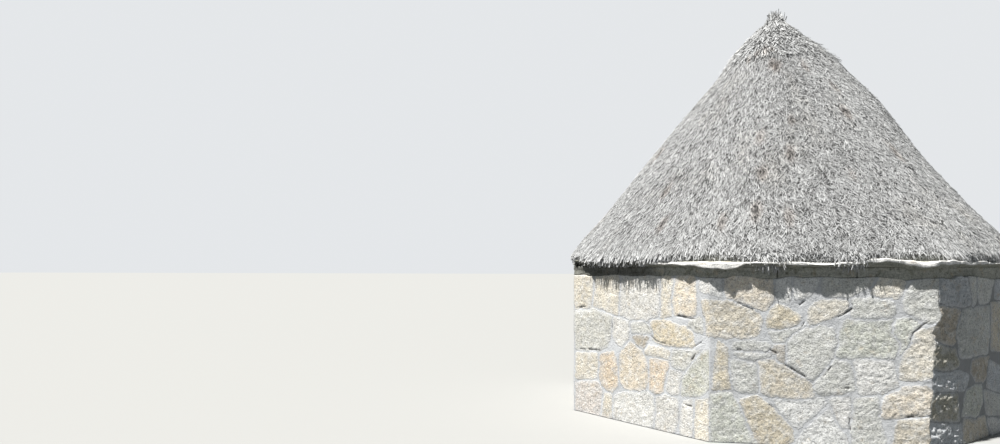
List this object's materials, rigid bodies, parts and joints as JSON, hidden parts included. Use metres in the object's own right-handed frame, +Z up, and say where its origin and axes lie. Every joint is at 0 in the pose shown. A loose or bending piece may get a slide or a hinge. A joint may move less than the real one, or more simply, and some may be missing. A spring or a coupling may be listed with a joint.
{
  "type": "thatched rondavel hut",
  "caption": "Eight-sided hut of rubble stone with projecting eaves slabs, an open doorway and a round conical thatched roof on poles.",
  "frame": {"origin": "ground level on the hut's axis, at the middle of its base", "axes": "+Z up, -Y out of the middle of the front wall, +Y out of the doorway in the back wall, +X to the right seen from the front"},
  "size_m": [5.3598, 5.3598, 5.1222],
  "materials": {
    "rubble": "split granite rubble in pale lime mortar",
    "levelling_stone": "long flat olive-grey stones, shaded by the slabs",
    "dressed_stone": "hewn pale granite",
    "slab_stone": "rough split slabs with pale broken edges",
    "pole_wood": "peeled, weathered poles",
    "hoop_wood": "bent green-wood sticks, bark on",
    "thatch": "grey weathered straw"
  },
  "bodies": {
    "root": {"wall_front": "rubble", "wall_front_right": "rubble", "wall_right": "rubble", "wall_back_right": "rubble", "wall_back_left": "rubble", "wall_left": "rubble", "wall_front_left": "rubble", "wall_back_beside_door_left": "rubble", "wall_back_beside_door_right": "rubble", "levelling_course": "levelling_stone", "door_jamb_left": "dressed_stone", "door_jamb_right": "dressed_stone", "door_lintel": "dressed_stone", "door_threshold": "dressed_stone", "eaves_slabs_front": "slab_stone", "eaves_slabs_front_right": "slab_stone", "eaves_slabs_right": "slab_stone", "eaves_slabs_back_right": "slab_stone", "eaves_slabs_back": "slab_stone", "eaves_slabs_back_left": "slab_stone", "eaves_slabs_left": "slab_stone", "eaves_slabs_front_left": "slab_stone", "rafter_front_right": "pole_wood", "rafter_right_front": "pole_wood", "rafter_right_back": "pole_wood", "rafter_back_right": "pole_wood", "rafter_back_left": "pole_wood", "rafter_left_back": "pole_wood", "rafter_left_front": "pole_wood", "rafter_front_left": "pole_wood", "jack_rafters": "pole_wood", "roof_hoops": "hoop_wood", "king_block": "pole_wood", "thatch_course_1": "thatch", "thatch_course_2": "thatch", "thatch_course_3": "thatch", "thatch_course_4": "thatch", "thatch_course_5": "thatch", "thatch_cap": "thatch", "straw_tuft": "thatch"}
  },
  "joints": []
}
